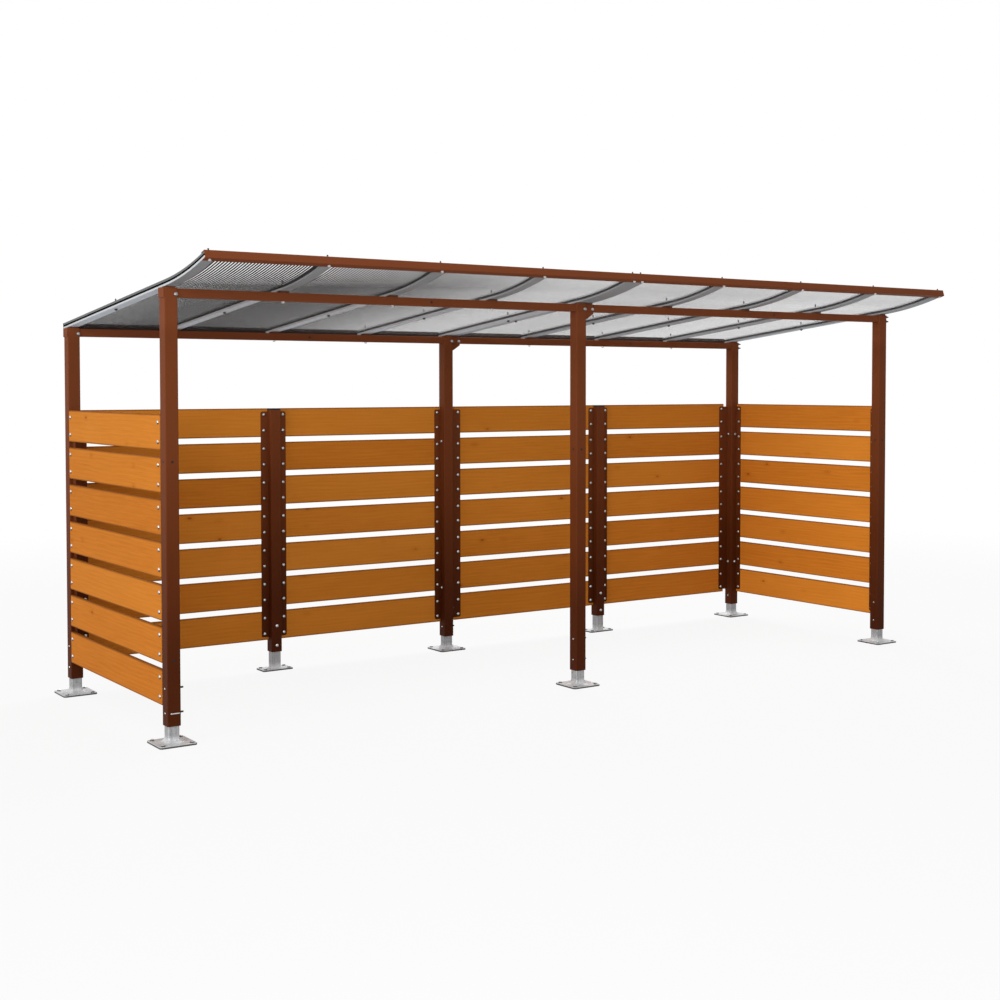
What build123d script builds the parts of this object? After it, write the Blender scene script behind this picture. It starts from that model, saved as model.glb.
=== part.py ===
from build123d import *
from math import asin, atan2, cos, degrees, sin, tan
import os

# Bike shelter with two bays: a steel frame on galvanised feet, board panels on three
# sides and a roof of multiwall sheets that curves up at the front.
# Millimetres, +Z up, +X along the length, +Y to the back, ground at zero.

# Layout of the frame
BAY_LENGTH = 2545.0
SECOND_BAY_EXTRA = 73.5
POST_ROW_SPACING = 1495.0
FRONT_POST_TOP = 2285.0
ROOF_FALL = 155.0

# Square posts
POST_SIDE = 70.0
POST_WALL = 5.0
POST_CORNER = 5.0
POST_BOTTOM = 93.0

# Feet: a flared stub on an anchor plate
FOOT_PLATE_SIDE = 196.0
FOOT_PLATE_THICK = 10.0
FOOT_PLATE_CORNER = 16.0
FOOT_PLATE_EDGE = 2.0
FOOT_BOLT_SPACING = 150.0
FOOT_HOLE_RADIUS = 7.0
STUB_TOP = 330.0
STUB_WALL = 5.0
STUB_CORNER = 7.0
STUB_FLARE = 30.0
SLIDE_CLEARANCE = 0.3

# Short board posts in the middle of each bay, of the same tube
BOARD_POST_SETBACK = 10.0
BOARD_POST_BOTTOM = 116.0
BOARD_POST_FLANGE = 50.0
SMALL_FOOT_WIDTH = 204.0
SMALL_FOOT_DEPTH = 116.0
SMALL_FOOT_BOLT_SPACING_X = 160.0
SMALL_FOOT_BOLT_SPACING_Y = 76.0
SMALL_FOOT_CORNER = 12.0
SMALL_STUB_TOP = 300.0
SMALL_STUB_FLARE = 6.0
CAP_HEIGHT = 10.0
CAP_PLUG_DEPTH = 18.0
CAP_EDGE = 3.0

# Boards and the brackets that hold them
BOARD_HEIGHT = 180.0
BOARD_GAP = 34.0
BOARD_COUNT = 7
BOARD_THICK = 20.0
BOARD_BOTTOM = 190.0
BOARD_END_GAP = 4.0
BOARD_EDGE = 3.0
BRACKET_FLANGE = 49.0
BRACKET_LEG = 40.0
BRACKET_THICK = 4.0
BRACKET_CORNER = 12.0
BRACKET_END_INSET = 20.0

# Beams between the posts
BEAM_HEIGHT = 45.0
BEAM_DEPTH = 60.0
BEAM_WALL = 3.0
BEAM_CORNER = 4.0
BEAM_DROP = 4.0

# Bracket that carries the second module's beams on the middle posts
JOINT_LENGTH = 60.0
JOINT_DEPTH = 52.0
JOINT_KNEE = 46.0
JOINT_NOSE = 12.0
JOINT_HEEL = 8.0
JOINT_EDGE = 3.0

# Clamp plates on the outer faces of the left end posts
HEAD_PLATE_THICK = 5.0
HEAD_PLATE_HEIGHT = 52.0
HEAD_PLATE_EDGE = 2.0

# Roof layers, from the rafters up
ROOF_BACK_OVERHANG = 60.0
ROOF_FRONT_REACH = 535.0
ROOF_CURVE_START = 40.0
ROOF_CURVE_RADIUS = 2400.0
RAFTER_WIDTH = 58.0
RAFTER_THICK = 10.0
SHEET_THICK = 10.0
SHEETS_PER_MODULE = 4
SHEET_JOINT_GAP = 6.0
COVER_INSET = 2.0
COVER_HEIGHT = 12.0
COVER_WALL = 3.0
CLOSER_THICK = 5.0
PACKER_SIDE_INSET = 5.0
PACKER_INSET = 3.0
SEAT_GAP = 0.3

# Channel along the raised front edge, which grips the ends of the roof layers
FASCIA_DEPTH = 40.0
FASCIA_WALL = 3.5
FASCIA_CORNER = 4.0
FASCIA_BOLT_RADIUS = 4.0
FASCIA_BOLT_RISE = 14.0

# One overrun serves every cut
CUT = 1.0

# Turn of the side panels, in degrees
QUARTER_TURN = 90.0

# Places worked out from the sizes above
FRAME_LENGTH = 2 * BAY_LENGTH + SECOND_BAY_EXTRA
BACK_POST_TOP = FRONT_POST_TOP - ROOF_FALL
POST_X = {
    "left": -FRAME_LENGTH / 2,
    "middle": -FRAME_LENGTH / 2 + BAY_LENGTH,
    "right": FRAME_LENGTH / 2,
}
POST_BORE = POST_SIDE - 2 * POST_WALL
STUB_SIDE = POST_BORE - 2 * SLIDE_CLEARANCE
ROOF_SLOPE = atan2(ROOF_FALL, POST_ROW_SPACING)
ROOF_SEAT = FRONT_POST_TOP + POST_SIDE / 2 * tan(ROOF_SLOPE) + SEAT_GAP
ROOF_END_SLOPE = asin(sin(ROOF_SLOPE) + (ROOF_FRONT_REACH - ROOF_CURVE_START) / ROOF_CURVE_RADIUS)
ROOF_STRAIGHT = (POST_ROW_SPACING + ROOF_BACK_OVERHANG + ROOF_CURVE_START) / cos(ROOF_SLOPE)
COVER_WIDTH = RAFTER_WIDTH - 2 * COVER_INSET
PACKER_WIDTH = RAFTER_WIDTH - 2 * PACKER_SIDE_INSET
COVER_LAYER = RAFTER_THICK + SHEET_THICK + 2 * SEAT_GAP
ROOF_LAYERS = COVER_LAYER + COVER_HEIGHT

# Roof modules: a few sheets each, with the end rafters flush with the module's ends
ROOF_LENGTH = FRAME_LENGTH + RAFTER_WIDTH
MODULE_LENGTH = ROOF_LENGTH / 2
SHEET_PITCH = MODULE_LENGTH / SHEETS_PER_MODULE
MODULE_START = {"left": -MODULE_LENGTH, "right": 0.0}

# The channel is turned to the roof's slope half way along its grip
FASCIA_HEIGHT = ROOF_LAYERS + 2 * SEAT_GAP + 2 * FASCIA_WALL
FASCIA_GRIP = FASCIA_DEPTH - FASCIA_WALL - SEAT_GAP
FASCIA_CURVE = ROOF_CURVE_RADIUS - ROOF_LAYERS / 2
FASCIA_SLOPE = ROOF_END_SLOPE - FASCIA_GRIP / 2 / FASCIA_CURVE
FASCIA_AHEAD = (FASCIA_DEPTH - FASCIA_GRIP) / 2

# The origin is under the middle of the whole shelter
FASCIA_FRONT = (
    ROOF_CURVE_START
    - ROOF_CURVE_RADIUS * sin(ROOF_SLOPE)
    + FASCIA_CURVE * sin(FASCIA_SLOPE)
    + (FASCIA_AHEAD + FASCIA_DEPTH / 2 - FASCIA_CORNER) * cos(FASCIA_SLOPE)
    + (FASCIA_HEIGHT / 2 - FASCIA_CORNER) * sin(FASCIA_SLOPE)
    + FASCIA_CORNER
)
BACK_EDGE = POST_ROW_SPACING + FOOT_PLATE_SIDE / 2
FRONT_Y = (FASCIA_FRONT - BACK_EDGE) / 2
BACK_Y = FRONT_Y + POST_ROW_SPACING
POST_ROWS = {"front": (FRONT_Y, FRONT_POST_TOP), "back": (BACK_Y, BACK_POST_TOP)}

# Board planes, measured outwards from the post lines: the boards end flush with the posts
BOARD_INNER = POST_SIDE / 2 - BOARD_THICK
BOARD_PITCH = BOARD_HEIGHT + BOARD_GAP
BOARD_TOP = BOARD_BOTTOM + BOARD_COUNT * BOARD_PITCH - BOARD_GAP
BOARD_POST_Y = BACK_Y + BOARD_POST_SETBACK
BOARD_POST_X = {
    "left": (POST_X["left"] + POST_X["middle"]) / 2,
    "right": (POST_X["middle"] + POST_X["right"]) / 2,
}


def rounded_bar(width, depth, corner, bottom, top):
    """Upright bar with rounded edges between two heights."""
    section = RectangleRounded(width, depth, corner)
    return Pos(0, 0, bottom) * extrude(section, top - bottom)


def lying_tube(length, depth, height, wall, corner):
    """Rectangular tube along X, centred on the origin."""
    outer = RectangleRounded(depth, height, corner)
    inner = Rectangle(depth - 2 * wall, height - 2 * wall)
    return extrude(Plane.YZ * (outer - inner), length / 2, both=True)


def post(top):
    """Square tube with a welded top plate, open at the bottom for its foot."""
    outer = rounded_bar(POST_SIDE, POST_SIDE, POST_CORNER, POST_BOTTOM, top)
    depth = top - POST_WALL - POST_BOTTOM
    return outer - Pos(0, 0, POST_BOTTOM - CUT) * extrude(Rectangle(POST_BORE, POST_BORE), depth + CUT)


def foot(plate_size, plate_corner, bolt_spacing, stub_top, flare):
    """Galvanised foot: a hollow stub that flares into an anchor plate with four holes."""
    plate = extrude(RectangleRounded(*plate_size, plate_corner), FOOT_PLATE_THICK)
    plate = chamfer(plate.faces().sort_by(Axis.Z)[-1].edges(), FOOT_PLATE_EDGE)
    whole = plate + extrude(RectangleRounded(STUB_SIDE, STUB_SIDE, STUB_CORNER), stub_top)
    level = whole.edges().filter_by_position(Axis.Z, FOOT_PLATE_THICK, FOOT_PLATE_THICK)
    root = [e for e in level if e.bounding_box().size.X <= STUB_SIDE]
    root = [e for e in root if abs(e.center().X) <= STUB_SIDE / 2 + CUT]
    root = [e for e in root if abs(e.center().Y) <= STUB_SIDE / 2 + CUT]
    whole = fillet(root, flare)
    hollow = Rectangle(STUB_SIDE - 2 * STUB_WALL, STUB_SIDE - 2 * STUB_WALL)
    whole -= Pos(0, 0, -CUT) * extrude(hollow, stub_top + 2 * CUT)
    hole = extrude(Circle(FOOT_HOLE_RADIUS), FOOT_PLATE_THICK + 2 * CUT)
    for place in GridLocations(*bolt_spacing, 2, 2):
        whole -= place * Pos(0, 0, -CUT) * hole
    return whole


def post_foot():
    """Foot of a main post, with a square plate and a wide flare."""
    plate = (FOOT_PLATE_SIDE, FOOT_PLATE_SIDE)
    return foot(plate, FOOT_PLATE_CORNER, (FOOT_BOLT_SPACING, FOOT_BOLT_SPACING), STUB_TOP, STUB_FLARE)


def board_post_foot():
    """Foot of a board post, with a narrower plate and a plain weld."""
    plate = (SMALL_FOOT_WIDTH, SMALL_FOOT_DEPTH)
    spacing = (SMALL_FOOT_BOLT_SPACING_X, SMALL_FOOT_BOLT_SPACING_Y)
    return foot(plate, SMALL_FOOT_CORNER, spacing, SMALL_STUB_TOP, SMALL_STUB_FLARE)


def flange(width):
    """Upright plate from X zero to its width, with round outer corners, its back face at Y zero."""
    low = BOARD_BOTTOM + BRACKET_END_INSET
    high = BOARD_TOP - BRACKET_END_INSET
    sheet = Pos(width / 2, (low + high) / 2) * Rectangle(width, high - low)
    sheet = fillet(sheet.vertices().group_by(Axis.X)[-1], BRACKET_CORNER)
    return extrude(Plane.XZ * sheet, BRACKET_THICK)


def board_post():
    """Short square tube with a welded flange on each side for the boards."""
    top = BOARD_TOP - CAP_HEIGHT
    tube = rounded_bar(POST_SIDE, POST_SIDE, POST_CORNER, BOARD_POST_BOTTOM, top)
    bore = Rectangle(POST_BORE, POST_BORE)
    tube -= Pos(0, 0, BOARD_POST_BOTTOM - CUT) * extrude(bore, top - BOARD_POST_BOTTOM + 2 * CUT)
    wing = Pos(POST_SIDE / 2, BOARD_INNER - BOARD_POST_SETBACK) * flange(BOARD_POST_FLANGE)
    return tube + wing + mirror(wing, Plane.YZ)


def board_post_cap():
    """Moulded cap over the top of a board post, with a plug inside the tube."""
    base = BOARD_TOP - CAP_HEIGHT
    lid = rounded_bar(POST_SIDE, POST_SIDE, POST_CORNER, base, BOARD_TOP)
    lid = fillet(lid.faces().sort_by(Axis.Z)[-1].edges(), CAP_EDGE)
    plug = POST_BORE - 2 * SLIDE_CLEARANCE
    return lid + Pos(0, 0, base - CAP_PLUG_DEPTH) * extrude(Rectangle(plug, plug), CAP_PLUG_DEPTH)


def panel(length):
    """Seven boards one above the other, along X, with their inner faces at Y zero."""
    section = Pos(BOARD_THICK / 2, 0) * RectangleRounded(BOARD_THICK, BOARD_HEIGHT, BOARD_EDGE)
    board = extrude(Plane.YZ * section, length / 2, both=True)
    first = BOARD_BOTTOM + BOARD_HEIGHT / 2
    return [Pos(0, 0, first + row * BOARD_PITCH) * board for row in range(BOARD_COUNT)]


def bracket(width):
    """Folded bracket: a leg against a post face at X zero, and a flange for the boards."""
    plate = flange(width)
    low = BOARD_BOTTOM + BRACKET_END_INSET
    leg = Box(
        BRACKET_THICK, BRACKET_LEG, BOARD_TOP - BRACKET_END_INSET - low,
        align=(Align.MIN, Align.MAX, Align.MIN),
    )
    return plate + Pos(0, 0, low) * leg


def joint_bracket(beam_top):
    """Knee bracket on the right of a middle post, from X zero to the second beam."""
    low = beam_top - BEAM_HEIGHT
    outline = Polyline(
        (0, beam_top),
        (JOINT_LENGTH, beam_top),
        (JOINT_LENGTH, low - JOINT_NOSE),
        (JOINT_HEEL, low - JOINT_KNEE),
        (0, low - JOINT_KNEE),
        close=True,
    )
    body = extrude(Plane.XZ * make_face(outline), JOINT_DEPTH / 2, both=True)
    sides = body.faces().filter_by(Axis.Y).edges().filter_by_position(Axis.X, CUT, JOINT_LENGTH - CUT)
    return chamfer(sides, JOINT_EDGE)


def head_plate(top):
    """Clamp plate on the outer face of a left end post, reaching out to the left from X zero."""
    plate = Box(
        HEAD_PLATE_THICK, POST_SIDE, HEAD_PLATE_HEIGHT,
        align=(Align.MAX, Align.CENTER, Align.MAX),
    )
    plate = chamfer(plate.faces().sort_by(Axis.X)[0].edges(), HEAD_PLATE_EDGE)
    return Pos(0, 0, top) * plate


def underside(reach):
    """Height of the rafters' straight underside, at a distance behind the front posts."""
    return ROOF_SEAT - reach * tan(ROOF_SLOPE)


def roof_point(slope, layer):
    """Point of the roof curve where it has a given slope, a layer's height above the underside."""
    start = Vector(FRONT_Y - ROOF_CURVE_START, underside(-ROOF_CURVE_START))
    centre = start + Vector(sin(ROOF_SLOPE), cos(ROOF_SLOPE)) * ROOF_CURVE_RADIUS
    return centre - Vector(sin(slope), cos(slope)) * (ROOF_CURVE_RADIUS - layer)


def roof_strip(width, low, high):
    """Strip of the roof between two layer heights, from X zero to its width."""
    back = Vector(cos(ROOF_SLOPE), -sin(ROOF_SLOPE)) * ROOF_STRAIGHT
    middle = (ROOF_SLOPE + ROOF_END_SLOPE) / 2
    lower = [roof_point(slope, low) for slope in (ROOF_SLOPE, middle, ROOF_END_SLOPE)]
    upper = [roof_point(slope, high) for slope in (ROOF_SLOPE, middle, ROOF_END_SLOPE)]
    outline = Curve() + [
        Line(lower[0] + back, lower[0]),
        ThreePointArc(*lower),
        Line(lower[-1], upper[-1]),
        ThreePointArc(*reversed(upper)),
        Line(upper[0], upper[0] + back),
        Line(upper[0] + back, lower[0] + back),
    ]
    return extrude(Plane.YZ * make_face(outline), width)


def rafter():
    """Flat profile under the joint of two sheets, centred on X zero."""
    return Pos(-RAFTER_WIDTH / 2) * roof_strip(RAFTER_WIDTH, 0, RAFTER_THICK)


def cover_strip():
    """Channel over the joint of two sheets, standing on its two edges, centred on X zero."""
    hollow = COVER_WIDTH - 2 * COVER_WALL
    strip = Pos(-COVER_WIDTH / 2) * roof_strip(COVER_WIDTH, COVER_LAYER, ROOF_LAYERS)
    return strip - Pos(-hollow / 2) * roof_strip(hollow, COVER_LAYER - CUT, ROOF_LAYERS - COVER_WALL)


def back_closer():
    """Bar across a module's back end that closes the sheets, from X zero."""
    along = Vector(cos(ROOF_SLOPE), -sin(ROOF_SLOPE))
    up = Vector(sin(ROOF_SLOPE), cos(ROOF_SLOPE)) * (ROOF_LAYERS)
    near = roof_point(ROOF_SLOPE, 0) + along * (ROOF_STRAIGHT + SEAT_GAP)
    far = near + along * CLOSER_THICK
    outline = Polyline(near, far, far + up, near + up, close=True)
    return extrude(Plane.YZ * make_face(outline), MODULE_LENGTH - SEAT_GAP)


def roof_sheet():
    """One multiwall sheet, from X zero to its width."""
    low = RAFTER_THICK + SEAT_GAP
    return roof_strip(SHEET_PITCH - SHEET_JOINT_GAP, low, low + SHEET_THICK)


def packer(row_y, base, depth):
    """Wedge between a flat top and the sloping rafter, centred on X zero."""
    near = depth / 2 - PACKER_INSET
    outline = Polyline(
        (row_y - near, base),
        (row_y + near, base),
        (row_y + near, underside(row_y + near - FRONT_Y)),
        (row_y - near, underside(row_y - near - FRONT_Y)),
        close=True,
    )
    return extrude(Plane.YZ * make_face(outline), PACKER_WIDTH / 2, both=True)


def fascia_place():
    """Where the channel's middle is, with its Y axis along the roof's end."""
    middle = roof_point(FASCIA_SLOPE, ROOF_LAYERS / 2)
    centre = middle + Vector(-cos(FASCIA_SLOPE), sin(FASCIA_SLOPE)) * FASCIA_AHEAD
    return Pos(0, centre.X, centre.Y) * Rot(-degrees(FASCIA_SLOPE), 0, 0)


def fascia():
    """Channel across the front edge, open to the back, round the ends of rafters, sheets and covers."""
    outer = Rectangle(FASCIA_DEPTH, FASCIA_HEIGHT)
    outer = fillet(outer.vertices().group_by(Axis.X)[0], FASCIA_CORNER)
    room = Pos(FASCIA_WALL) * Rectangle(FASCIA_DEPTH, FASCIA_HEIGHT - 2 * FASCIA_WALL)
    return fascia_place() * extrude(Plane.YZ * (outer - room), ROOF_LENGTH / 2, both=True)


def fascia_bolt():
    """End of a bolt that stands on the channel's top flange, centred on X zero."""
    rod = extrude(Circle(FASCIA_BOLT_RADIUS), FASCIA_BOLT_RISE)
    return fascia_place() * Pos(0, 0, FASCIA_HEIGHT / 2 + SEAT_GAP) * rod


def rafter_places(start):
    """X of a module's rafters: over each sheet joint, and flush at both ends."""
    inner = [start + step * SHEET_PITCH for step in range(1, SHEETS_PER_MODULE)]
    return [start + RAFTER_WIDTH / 2, *inner, start + MODULE_LENGTH - RAFTER_WIDTH / 2]


nodes = {}

# Posts and feet
for row, (row_y, top) in POST_ROWS.items():
    for side, x in POST_X.items():
        nodes[f"post_{row}_{side}"] = [Pos(x, row_y) * post(top)]
        nodes[f"foot_{row}_{side}"] = [Pos(x, row_y) * post_foot()]
for side, x in BOARD_POST_X.items():
    nodes[f"board_post_{side}"] = [Pos(x, BOARD_POST_Y) * board_post()]
    nodes[f"board_post_foot_{side}"] = [Pos(x, BOARD_POST_Y) * board_post_foot()]
nodes["board_post_caps"] = [Pos(x, BOARD_POST_Y) * board_post_cap() for x in BOARD_POST_X.values()]

# Beams, with their brackets on the middle posts and clamp plates on the left end posts
nodes["frame_brackets"] = []
for row, (row_y, top) in POST_ROWS.items():
    beam_top = top - BEAM_DROP
    bays = {
        "left": (POST_X["left"] + POST_SIDE / 2, POST_X["middle"] - POST_SIDE / 2),
        "right": (POST_X["middle"] + POST_SIDE / 2 + JOINT_LENGTH, POST_X["right"] - POST_SIDE / 2),
    }
    for side, (start, end) in bays.items():
        tube = lying_tube(end - start, BEAM_DEPTH, BEAM_HEIGHT, BEAM_WALL, BEAM_CORNER)
        nodes[f"beam_{row}_{side}"] = [Pos((start + end) / 2, row_y, beam_top - BEAM_HEIGHT / 2) * tube]
    nodes["frame_brackets"].append(Pos(POST_X["middle"] + POST_SIDE / 2, row_y) * joint_bracket(beam_top))
    nodes["frame_brackets"].append(Pos(POST_X["left"] - POST_SIDE / 2, row_y) * head_plate(top))

# Back panels: the boards of both bays are as long as the first bay takes
first_bay_room = BOARD_POST_X["left"] - POST_X["left"] - POST_SIDE
back_board = first_bay_room - 2 * BOARD_END_GAP
for side, x in BOARD_POST_X.items():
    reach = POST_SIDE / 2 + BOARD_END_GAP + back_board / 2
    for half, centre in (("left", x - reach), ("right", x + reach)):
        boards = panel(back_board)
        nodes[f"panel_back_{side}_bay_{half}"] = [Pos(centre, BACK_Y + BOARD_INNER) * b for b in boards]

# Side panels, between the front and the back posts
side_board = POST_ROW_SPACING - POST_SIDE - 2 * BOARD_END_GAP
middle_y = (FRONT_Y + BACK_Y) / 2
for side, sign in (("left", 1), ("right", -1)):
    turned = Pos(POST_X[side] - sign * BOARD_INNER, middle_y) * Rot(0, 0, sign * QUARTER_TURN)
    nodes[f"panel_{side}"] = [turned * b for b in panel(side_board)]

# Brackets: the second bay's flanges reach further, because its boards stand off the posts
wide_flange = BRACKET_FLANGE + SECOND_BAY_EXTRA / 2
back_plane = BACK_Y + BOARD_INNER
facing_right = {"left": BRACKET_FLANGE, "middle": wide_flange}
facing_left = {"middle": BRACKET_FLANGE, "right": wide_flange}
nodes["brackets_back"] = [
    Pos(POST_X[side] + POST_SIDE / 2, back_plane) * bracket(width) for side, width in facing_right.items()
] + [
    Pos(POST_X[side] - POST_SIDE / 2, back_plane) * mirror(bracket(width), Plane.YZ)
    for side, width in facing_left.items()
]
for side, sign in (("left", -1), ("right", 1)):
    plane_x = POST_X[side] + sign * BOARD_INNER
    behind_front = Rot(0, 0, QUARTER_TURN) * bracket(BRACKET_FLANGE)
    ahead_of_back = mirror(behind_front, Plane.XZ)
    if side == "right":
        behind_front = mirror(behind_front, Plane.YZ)
        ahead_of_back = mirror(ahead_of_back, Plane.YZ)
    nodes[f"brackets_{side}"] = [
        Pos(plane_x, FRONT_Y + POST_SIDE / 2) * behind_front,
        Pos(plane_x, BACK_Y - POST_SIDE / 2) * ahead_of_back,
    ]

# Roof: rafters on wedge packers, then the sheets, the cover strips, the back closers and the front channel
nodes["rafter_packers"] = []
nodes["cover_strips"] = []
nodes["back_closers"] = []
nodes["fascia_bolts"] = []
sheet_number = 0
for module, start in MODULE_START.items():
    places = rafter_places(start)
    nodes[f"rafters_{module}"] = [Pos(x) * rafter() for x in places]
    nodes["cover_strips"] += [Pos(x) * cover_strip() for x in places]
    nodes["back_closers"].append(Pos(start + SEAT_GAP / 2) * back_closer())
    nodes["fascia_bolts"] += [Pos(x) * fascia_bolt() for x in places]
    for row, (row_y, top) in POST_ROWS.items():
        for x in places:
            on_post = any(abs(x - post_x) < POST_SIDE / 2 for post_x in POST_X.values())
            base = top if on_post else top - BEAM_DROP
            depth = POST_SIDE if on_post else JOINT_DEPTH
            nodes["rafter_packers"].append(Pos(x) * packer(row_y, base, depth))
    for step in range(SHEETS_PER_MODULE):
        sheet_number += 1
        edge = start + step * SHEET_PITCH + SHEET_JOINT_GAP / 2
        nodes[f"roof_sheet_{sheet_number}"] = [Pos(edge) * roof_sheet()]
nodes["fascia_beam"] = [fascia()]

os.makedirs("parts", exist_ok=True)
for name, solids in nodes.items():
    shape = solids[0] if len(solids) == 1 else Compound(children=solids)
    export_step(shape, f"parts/{name}.step")
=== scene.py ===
import math

import bpy
import numpy as np
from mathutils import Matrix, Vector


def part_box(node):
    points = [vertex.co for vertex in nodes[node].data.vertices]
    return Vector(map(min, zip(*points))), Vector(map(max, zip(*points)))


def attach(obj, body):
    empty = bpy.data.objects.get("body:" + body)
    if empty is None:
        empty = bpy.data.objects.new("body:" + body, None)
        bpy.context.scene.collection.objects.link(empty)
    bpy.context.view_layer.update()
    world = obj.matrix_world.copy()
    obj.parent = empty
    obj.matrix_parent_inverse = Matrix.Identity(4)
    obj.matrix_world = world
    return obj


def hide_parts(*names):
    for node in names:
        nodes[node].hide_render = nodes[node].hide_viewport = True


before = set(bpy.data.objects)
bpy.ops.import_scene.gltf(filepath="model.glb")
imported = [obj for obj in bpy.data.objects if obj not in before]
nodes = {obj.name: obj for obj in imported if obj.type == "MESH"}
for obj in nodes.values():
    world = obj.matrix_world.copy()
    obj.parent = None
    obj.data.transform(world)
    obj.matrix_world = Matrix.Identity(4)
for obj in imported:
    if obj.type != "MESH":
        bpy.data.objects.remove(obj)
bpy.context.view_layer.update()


# Feet. Each is a square tube stub welded to an anchor plate, then dipped in molten zinc,
# which leaves a pale skin of flat crystals. The post slides over the stub.
class Wire:
    """One output of a material's nodes. Sums and products of wires add Math nodes."""

    def __init__(self, finish, socket):
        self.finish = finish
        self.socket = socket

    def math(self, operation, first, second):
        return self.finish.node("ShaderNodeMath", {"operation": operation}, {0: first, 1: second})

    def __add__(self, other):
        return self.math("ADD", self, other)

    def __radd__(self, other):
        return self.math("ADD", other, self)

    def __sub__(self, other):
        return self.math("SUBTRACT", self, other)

    def __rsub__(self, other):
        return self.math("SUBTRACT", other, self)

    def __mul__(self, other):
        return self.math("MULTIPLY", self, other)

    def __rmul__(self, other):
        return self.math("MULTIPLY", other, self)

    def __truediv__(self, other):
        return self.math("DIVIDE", self, other)

    def __rtruediv__(self, other):
        return self.math("DIVIDE", other, self)

    def __abs__(self):
        return self.finish.node("ShaderNodeMath", {"operation": "ABSOLUTE"}, {0: self})


class Finish:
    """The nodes of one material, or of the surround: its main shader and what feeds it."""

    def __init__(self, owner):
        owner.use_nodes = True
        self.owner = owner
        self.tree = owner.node_tree
        self.shader = self.tree.nodes.get("Principled BSDF")

    def feed(self, socket, value):
        if isinstance(value, Wire):
            self.tree.links.new(value.socket, socket)
        else:
            socket.default_value = value

    def node(self, kind, settings, feeds, output=0):
        """Add a node: first its settings, then the values or links of its sockets."""
        made = self.tree.nodes.new(kind)
        for key, value in settings.items():
            if key == "stops":
                stops = made.color_ramp.elements
                stops[0].position, stops[0].color = value[0]
                stops[1].position, stops[1].color = value[-1]
                for position, colour in value[1:-1]:
                    stops.new(position).color = colour
            else:
                setattr(made, key, value)
        for key, value in feeds.items():
            self.feed(made.inputs[key], value)
        return Wire(self, made.outputs[output])

    def place(self):
        """Where a point of the surface is, in the shelter's own frame."""
        return self.node("ShaderNodeTexCoord", {}, {}, "Object")

    def facing(self):
        """Which way the surface looks at a point."""
        return self.node("ShaderNodeTexCoord", {}, {}, "Normal")

    def axis(self, vector, letter):
        """One part of a vector: X, Y or Z."""
        return self.node("ShaderNodeSeparateXYZ", {}, {"Vector": vector}, letter)

    def noise(self, place, scale, detail):
        return self.node("ShaderNodeTexNoise", {}, {"Vector": place, "Scale": scale, "Detail": detail})

    def ramp(self, value, stops):
        return self.node("ShaderNodeValToRGB", {"stops": stops}, {"Fac": value})

    def between(self, value, low, high):
        """Zero below one value, one above another, smooth between them."""
        limits = {"Value": value, "From Min": low, "From Max": high}
        return self.node("ShaderNodeMapRange", {"interpolation_type": "SMOOTHSTEP"}, limits)

    def bump(self, height, strength, distance):
        feeds = {"Height": height, "Strength": strength, "Distance": distance}
        return self.node("ShaderNodeBump", {}, feeds)

    def mixed(self, share, first, second):
        """A colour between two colours."""
        return self.node("ShaderNodeMix", {"data_type": "RGBA"}, {0: share, 6: first, 7: second}, 2)

    def surface(self, feeds):
        """Set the main shader's sockets."""
        for key, value in feeds.items():
            self.feed(self.shader.inputs[key], value)
        return self.owner

    def blend(self, share, first, second):
        """End in a mix of two shaders in place of the main one."""
        both = self.node("ShaderNodeMixShader", {}, {0: share, 1: first, 2: second})
        self.tree.links.new(both.socket, self.tree.get_output_node("ALL").inputs["Surface"])
        return self.owner


def material(name):
    return Finish(bpy.data.materials.new(name))


def dress(names, coating):
    """Give CAD pieces a finish in place of their plain one."""
    for name in names:
        nodes[name].data.materials.clear()
        nodes[name].data.materials.append(coating)


PAINTED_SHADE_LOW, PAINTED_SHADE_HIGH = 0.0066, 0.0098
FLARE_LOW, FLARE_HIGH = 0.012, 0.055


def zinc_finish():
    """Voronoi cells a few millimetres wide, each with its own tone, under clouds of dull white bloom.

    Runs of zinc down the stub are noise stretched upright. Plate and flare are paler than the stub,
    as painted light, and the plate's edges and hole walls are painted near black, as shade.
    """
    zinc = material("hot_dip_zinc")
    place = zinc.place()
    cells = zinc.node("ShaderNodeTexVoronoi", {}, {"Vector": place, "Scale": 140.0}, "Color")
    cell_tone = zinc.node("ShaderNodeSeparateColor", {}, {"Color": cells}, "Red")
    bloom = zinc.noise(place, 26.0, 4.0)
    runs = zinc.node("ShaderNodeMapping", {}, {"Vector": place, "Scale": (95.0, 95.0, 5.0)})
    height = zinc.axis(place, "Z")
    # Painted light: the plate and the flare are made paler than the stub.
    paler = 1.0 - zinc.between(height, FLARE_LOW, FLARE_HIGH)
    tone = 0.14 * cell_tone + 0.18 * bloom + 0.30 * zinc.noise(runs, 1.0, 2.0) + 0.30 * paler
    shades = [(0.20, (0.22, 0.223, 0.227, 1)), (0.40, (0.39, 0.393, 0.40, 1)), (0.72, (0.70, 0.703, 0.71, 1))]
    # Painted shade: near black below the top of the plate, on its edges and in its holes.
    above_painted_shade = zinc.between(height, PAINTED_SHADE_LOW, PAINTED_SHADE_HIGH)
    return zinc.surface({
        "Base Color": zinc.mixed(above_painted_shade, (0.05, 0.05, 0.052, 1), zinc.ramp(tone, shades)),
        "Metallic": 0.25,
        "Roughness": 0.40 + 0.20 * bloom,
        "Normal": zinc.bump(bloom, 0.2, 0.0008),
    })


post_names = [n for n in nodes if n.startswith("post_")]
foot_names = [n for n in nodes if n.startswith("foot_")]
small_foot_names = [n for n in nodes if n.startswith("board_post_foot")]
zinc = zinc_finish()
dress(foot_names + small_foot_names, zinc)
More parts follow.
